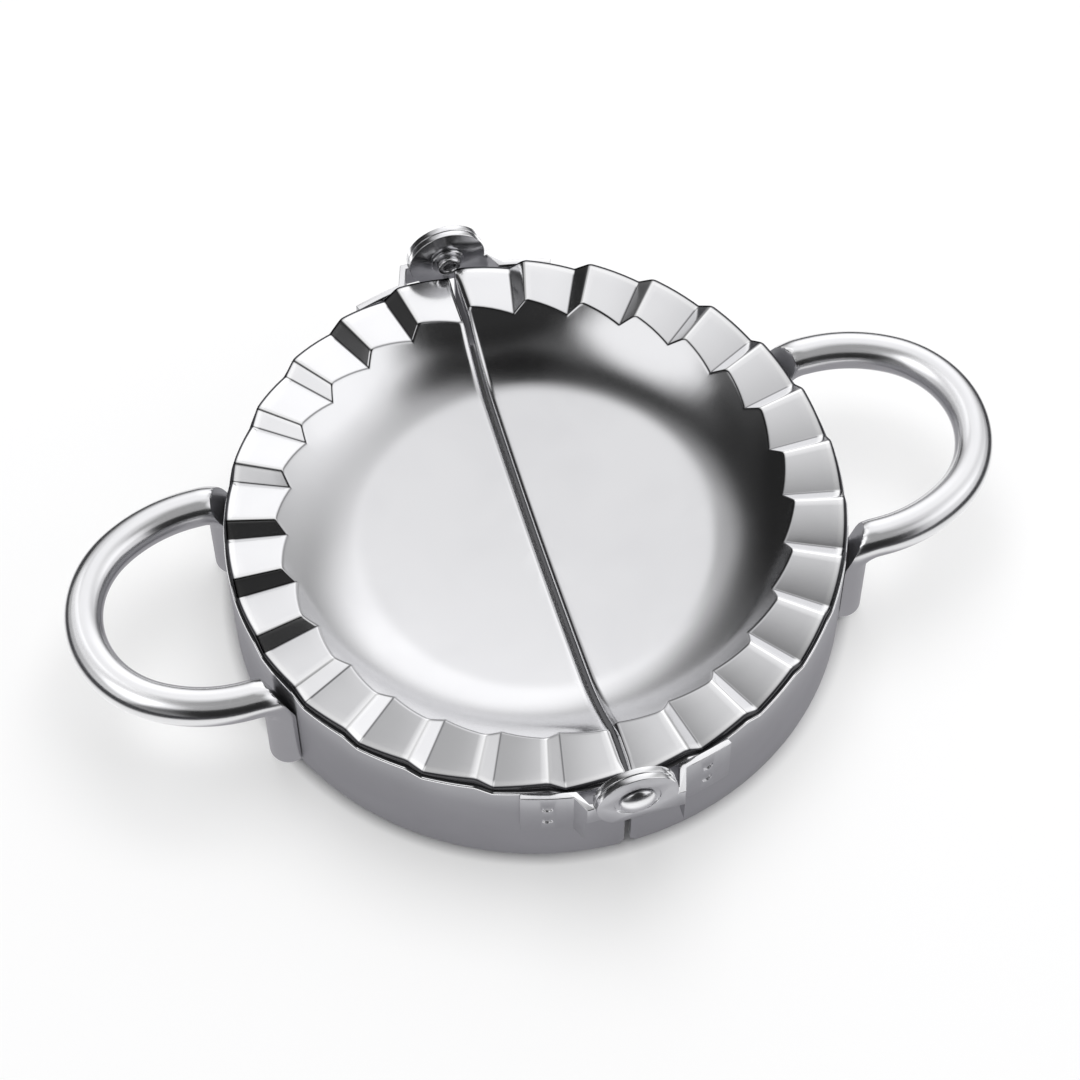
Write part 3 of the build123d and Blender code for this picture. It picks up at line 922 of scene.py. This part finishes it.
def makeWasher(name, node, body, way):
    low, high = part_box(node)
    t = hinge["washerT"] / 2
    r = hinge["washerR"]
    b = hinge["pinR"] + hinge["pinPlay"]
    e = hinge["washerSoft"]
    profile = [(b, t), (r - e, t), (r, t - e), (r, -t + e), (r - e, -t), (b, -t), (b, t)]
    bm = lathe(profile, (low.y + high.y) / 2 / mm, way)
    bmesh.ops.remove_doubles(bm, verts=bm.verts, dist=1e-7)
    bmesh.ops.recalc_face_normals(bm, faces=bm.faces)
    obj = addObject(name, meshFromBm(bm, name))
    obj.data.materials.append(steel["rivetBright"])
    softShade(obj.data, hinge["washerCrease"])
    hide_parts(node)
    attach(obj, body)


for side in ("left", "right"):
    makeDish(side)
    makeRing(side)
    makeHandle(side)
    print(side, "half made")

makePlate("front_inner_hinge_plate", "left_half")
makePlate("back_outer_hinge_plate", "left_half")
makePlate("back_inner_hinge_plate", "right_half")
makePlate("front_outer_hinge_plate", "right_half")
makeRivet("frontRivetPin", "front_rivet", "right_half", -1)
makeRivet("backRivetPin", "back_rivet", "left_half", 1)
makeWasher("frontWasherDisc", "front_washer", "right_half", -1)
makeWasher("backWasherDisc", "back_washer", "left_half", 1)
print("hinges made")

studio = {
    "floorTone": 0.9, "floorHalf": 1.6, "floorRough": 0.9,
    # radius and tone of the rings that only the metal sees on the floor: its own
    # soft shadow close by, the white table, and a dark room past it
    "floorRings": [
        (45.5, (0.13, 0.13, 0.135)), (47.2, (0.44, 0.435, 0.455)), (60.0, (0.44, 0.435, 0.455)),
        (68.0, (1.2, 1.2, 1.2)), (92.0, (1.2, 1.2, 1.2)), (110.0, (0.06, 0.06, 0.065))],
    "ringsTo": 200.0,                      # the rings are set out over this radius
    "shadowLift": 0.5, "liftFade": 2.0,    # share of plain white in the floor that the lens sees
    "lampAt": (0.15, 0.3, 1.0), "lampSize": 0.9, "lampPower": 9.0,
    # even white skies for the handles alone: towards, width in degrees, power
    "handleSkies": [((0.1, 0.25, 0.96), 132.0, 1.22), ((-0.84, 0.22, 0.5), 92.0, 1.05)],
    "cameraAt": (-71.83, -247.9, 428.5), "lookAt": (0.5, -0.5, 13.0),
    "rollDeg": 0.41, "lens": 106.0, "sensor": 36.0,
}

tent = {
    "horizon": 0.36, "zenith": 0.02, "riseTo": 0.7, "tint": (1.0, 1.0, 1.01),
    "beyond": 0.95,                                  # what the lens sees past the floor
    # direction, full within, gone beyond (degrees), brightness
    "panels": [
        ((0.18, 0.62, 0.76), 21, 49, 0.90),          # soft wall behind
        ((0.42, 0.80, 0.43), 11, 35, 1.22),          # bright panel behind
        ((0.77, -0.50, 0.41), 3, 81, 1.15),          # soft wall in front on the right
        ((-0.73, 0.68, 0.10), 16, 56, 0.02),         # dark room on the left
        ((-0.27, 0.67, 0.70), 3, 17, 0.49),          # grey wall behind on the left
        ((-0.01, -0.23, 0.97), 11, 15, 0.0),         # flag overhead
        ((0.05, -0.75, 0.65), 18, 35, 0.02),         # dark room round the lens
        ((0.0, -0.95, 0.31), 26, 38, 0.03),          # dark room under the lens
        ((0.30, -0.35, 0.89), 5, 16, 0.0),           # flag on its right
        ((-0.68, -0.31, 0.67), 14, 27, 1.03),        # window left of the lens
        ((0.80, -0.38, 0.46), 12, 20, 1.13),         # bright panel on the right
    ],
}


def makeFloor():
    bm = bmesh.new()
    bmesh.ops.create_grid(bm, x_segments=4, y_segments=4, size=studio["floorHalf"])
    floor = addObject("studioFloor", meshFromBm(bm, "studioFloor"))
    material = bpy.data.materials.new("paleFloor")
    material.use_nodes = True
    nodes = material.node_tree.nodes
    join = material.node_tree.links.new
    shader = nodes["Principled BSDF"]
    shader.inputs["Base Color"].default_value = (*[studio["floorTone"]] * 3, 1.0)
    shader.inputs["Roughness"].default_value = studio["floorRough"]
    shader.inputs["Specular IOR Level"].default_value = 0.1
    place = nodes.new("ShaderNodeTexCoord")
    reach = addNode(nodes, "ShaderNodeVectorMath", operation="LENGTH")
    path = nodes.new("ShaderNodeLightPath")
    join(place.outputs["Object"], reach.inputs[0])
    # past the press the lens sees the shade half as deep
    pale = addNode(nodes, "ShaderNodeEmission", {"Color": (1.0, 1.0, 1.0, 1.0)})
    outside = addNode(nodes, "ShaderNodeMapRange", {
        "From Min": press["ringOuter"] * mm,
        "From Max": (press["ringOuter"] + studio["liftFade"]) * mm,
        "To Max": studio["shadowLift"]})
    lift = addNode(nodes, "ShaderNodeMath", operation="MULTIPLY")
    lifted = nodes.new("ShaderNodeMixShader")
    join(reach.outputs["Value"], outside.inputs["Value"])
    join(path.outputs["Is Camera Ray"], lift.inputs[0])
    join(outside.outputs[0], lift.inputs[1])
    join(lift.outputs[0], lifted.inputs["Fac"])
    join(shader.outputs[0], lifted.inputs[1])
    join(pale.outputs[0], lifted.inputs[2])
    # the metal sees the rings
    share = addNode(nodes, "ShaderNodeMath", {1: 1 / (studio["ringsTo"] * mm)},
                    operation="MULTIPLY")
    rings = nodes.new("ShaderNodeValToRGB")
    ramp = rings.color_ramp
    while len(ramp.elements) < len(studio["floorRings"]):
        ramp.elements.new(0.5)
    for stop, (radius, tone) in zip(ramp.elements, studio["floorRings"]):
        stop.position = radius / studio["ringsTo"]
        stop.color = (*tone, 1.0)
    seen = nodes.new("ShaderNodeEmission")
    pick = nodes.new("ShaderNodeMixShader")
    join(reach.outputs["Value"], share.inputs[0])
    join(share.outputs[0], rings.inputs["Fac"])
    join(rings.outputs["Color"], seen.inputs["Color"])
    join(path.outputs["Is Glossy Ray"], pick.inputs["Fac"])
    join(lifted.outputs[0], pick.inputs[1])
    join(seen.outputs[0], pick.inputs[2])
    join(pick.outputs[0], nodes["Material Output"].inputs["Surface"])
    floor.data.materials.append(material)


def makeWorld():
    # a tent of soft panels; each panel is painted over the ones before it
    world = bpy.data.worlds.new("studioTent")
    world.use_nodes = True
    bpy.context.scene.world = world
    nodes = world.node_tree.nodes
    join = world.node_tree.links.new
    back = nodes["Background"]
    place = nodes.new("ShaderNodeTexCoord")
    unit = addNode(nodes, "ShaderNodeVectorMath", operation="NORMALIZE")
    parts = nodes.new("ShaderNodeSeparateXYZ")
    rise = addNode(nodes, "ShaderNodeMapRange", {
        "From Max": tent["riseTo"], "To Min": tent["horizon"], "To Max": tent["zenith"]},
        interpolation_type="SMOOTHSTEP")
    join(place.outputs["Generated"], unit.inputs[0])
    join(unit.outputs[0], parts.inputs[0])
    join(parts.outputs["Z"], rise.inputs["Value"])
    level = rise.outputs[0]
    for direction, near, far, tone in tent["panels"]:
        dot = addNode(nodes, "ShaderNodeVectorMath", {1: Vector(direction).normalized()},
                      operation="DOT_PRODUCT")
        angle = addNode(nodes, "ShaderNodeMath", operation="ARCCOSINE")
        mask = addNode(nodes, "ShaderNodeMapRange", {
            "From Min": radians(near), "From Max": radians(far), "To Min": 1.0, "To Max": 0.0},
            interpolation_type="SMOOTHSTEP")
        paint = addNode(nodes, "ShaderNodeMix", {"B": tone})
        join(unit.outputs[0], dot.inputs[0])
        join(dot.outputs["Value"], angle.inputs[0])
        join(angle.outputs[0], mask.inputs["Value"])
        join(mask.outputs[0], paint.inputs["Factor"])
        join(level, paint.inputs["A"])
        level = paint.outputs["Result"]
    path = nodes.new("ShaderNodeLightPath")
    pick = addNode(nodes, "ShaderNodeMix", {"B": tent["beyond"]})
    join(path.outputs["Is Camera Ray"], pick.inputs["Factor"])
    join(level, pick.inputs["A"])
    join(pick.outputs["Result"], back.inputs["Strength"])
    back.inputs["Color"].default_value = (*tent["tint"], 1.0)


def makeLamp():
    # soft light from above, which the metal doesn't mirror
    data = bpy.data.lights.new("overhead", "AREA")
    data.shape = "SQUARE"
    data.size = studio["lampSize"]
    data.energy = studio["lampPower"]
    lamp = addObject("overhead", data)
    lamp.location = studio["lampAt"]
    lamp.rotation_euler = (-Vector(studio["lampAt"])).to_track_quat("-Z", "Y").to_euler()
    lamp.visible_glossy = False


def makeSky(name, towards, wide, power, onlyOn):
    # an even white patch of sky that lights a few pieces only, and that only they can block
    data = bpy.data.lights.new(name, "SUN")
    data.angle = radians(wide)
    data.energy = power
    sky = addObject(name, data)
    sky.rotation_euler = Vector(towards).to_track_quat("Z", "Y").to_euler()
    group = bpy.data.collections.new(name + "Group")
    for piece in onlyOn:
        group.objects.link(piece)
    sky.light_linking.receiver_collection = group
    sky.light_linking.blocker_collection = group


def makeCamera():
    data = bpy.data.cameras.new("lens")
    data.lens = studio["lens"]
    data.sensor_width = studio["sensor"]
    data.clip_start = 0.01
    data.clip_end = 20.0
    cam = addObject("lens", data)
    at = Vector(studio["cameraAt"]) * mm
    aim = Vector(studio["lookAt"]) * mm
    turn = (aim - at).to_track_quat("-Z", "Y").to_matrix().to_4x4()
    roll = Matrix.Rotation(radians(-studio["rollDeg"]), 4, "Z")
    cam.matrix_world = Matrix.Translation(at) @ turn @ roll
    bpy.context.scene.camera = cam


makeFloor()
makeWorld()
makeLamp()
bars = [obj for obj in bpy.data.objects if obj.name.endswith("HandleBar")]
for n, (towards, wide, power) in enumerate(studio["handleSkies"]):
    makeSky("handleSky%d" % n, towards, wide, power, bars)
makeCamera()
bpy.context.scene.view_settings.view_transform = "Standard"
print("studio made")
